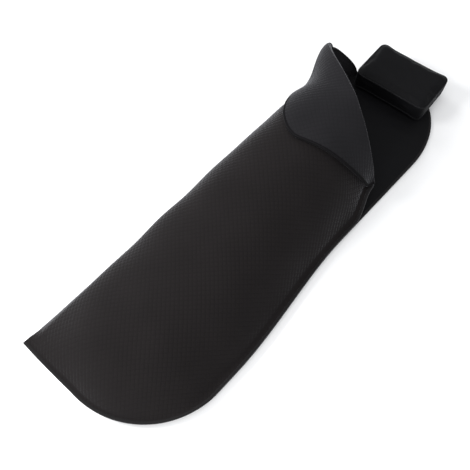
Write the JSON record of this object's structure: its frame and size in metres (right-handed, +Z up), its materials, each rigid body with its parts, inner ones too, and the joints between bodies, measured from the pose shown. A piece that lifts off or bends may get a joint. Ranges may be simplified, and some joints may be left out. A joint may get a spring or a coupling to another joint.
{
  "type": "infrared sauna blanket",
  "caption": "Quilted sleeping-bag style infrared heating blanket with a fold-over cover, a turned-back corner and a loose head pillow.",
  "frame": {"origin": "centre of the outer box at floor level, under the mat", "axes": "+Z up from the floor, +Y from the foot to the head along the longest side, +X from the fold to the open side"},
  "size_m": [0.6235, 1.9305, 0.2704],
  "materials": {
    "outer_fabric": "quilted charcoal microfibre with a faint sheen",
    "lining_fabric": "smooth black wipe-clean lining",
    "flap_lining_fabric": "fine-quilted charcoal lining",
    "wadding": "white needled wadding",
    "reflective_film": "matte metallised film",
    "felt": "grey felt",
    "carbon_ribbon": "woven carbon heating ribbon",
    "bare_metal": "satin",
    "probe_film": "amber polyimide",
    "lead_wire": "silicone insulation",
    "edge_binding": "woven binding tape",
    "closure_tape": "hook-and-loop and woven tape",
    "black_plastic": "fine matte",
    "insulator": "phenolic",
    "contact_metal": "plain",
    "foam": "open-cell foam",
    "zipper_plastic": "moulded",
    "zipper_metal": "blackened"
  },
  "bodies": {
    "mat": {"mat_base_fabric": "outer_fabric", "mat_wadding": "wadding", "mat_reflective_film": "reflective_film", "mat_heater_felt": "felt", "mat_heating_ribbon": "carbon_ribbon", "mat_thermal_cutouts": "bare_metal", "mat_temperature_probe": "probe_film", "mat_leads": "lead_wire", "mat_lining": "lining_fabric", "mat_edge_binding": "edge_binding", "closure_hook_tape": "closure_tape", "fold_roll": "edge_binding", "inlet_housing": "black_plastic", "inlet_insulator": "insulator", "inlet_contacts": "contact_metal", "inlet_clamp_plate": "bare_metal", "inlet_screws": "bare_metal"},
    "cover": {"cover_outer_fabric": "outer_fabric", "cover_wadding": "wadding", "cover_reflective_film": "reflective_film", "cover_heater_felt": "felt", "cover_heating_ribbon": "carbon_ribbon", "cover_temperature_probe": "probe_film", "cover_lining": "lining_fabric", "cover_edge_binding": "edge_binding", "closure_loop_tape": "closure_tape"},
    "flap": {"flap_outer_fabric": "outer_fabric", "flap_wadding": "wadding", "flap_lining": "flap_lining_fabric", "flap_edge_binding": "edge_binding"},
    "pillow": {"pillow_foam": "foam", "pillow_cover": "lining_fabric", "pillow_zipper_tape": "closure_tape", "pillow_zipper_teeth": "zipper_plastic"},
    "zipper_slider": {"pillow_zipper_slider": "zipper_metal"},
    "zipper_pull": {"pillow_zipper_pull": "zipper_metal"}
  },
  "joints": [
    {"name": "cover_fold", "type": "hinge", "parent": "mat", "child": "cover", "pos_m": [-0.2774, 0, 0.01405], "axis": [0, -1, 0], "range_deg": [0, 80]},
    {"name": "flap_crease", "type": "hinge", "parent": "cover", "child": "flap", "pos_m": [-0.274, 0.70875, 0.1965], "axis": [-0.7827, 0.6026, 0.1558], "range_deg": [0, 130]},
    {"name": "pillow_lift", "type": "slide", "parent": "mat", "child": "pillow", "axis": [0, 0, 1], "range_m": [0, 0.3]},
    {"name": "zipper_travel", "type": "slide", "parent": "pillow", "child": "zipper_slider", "axis": [0.9976, 0.0698, 0], "range_m": [0, 0.226]},
    {"name": "zipper_pull_swing", "type": "hinge", "parent": "zipper_slider", "child": "zipper_pull", "pos_m": [-0.13825, 0.9531, 0.0586], "axis": [0.9976, 0.0698, 0], "range_deg": [0, 140]}
  ]
}
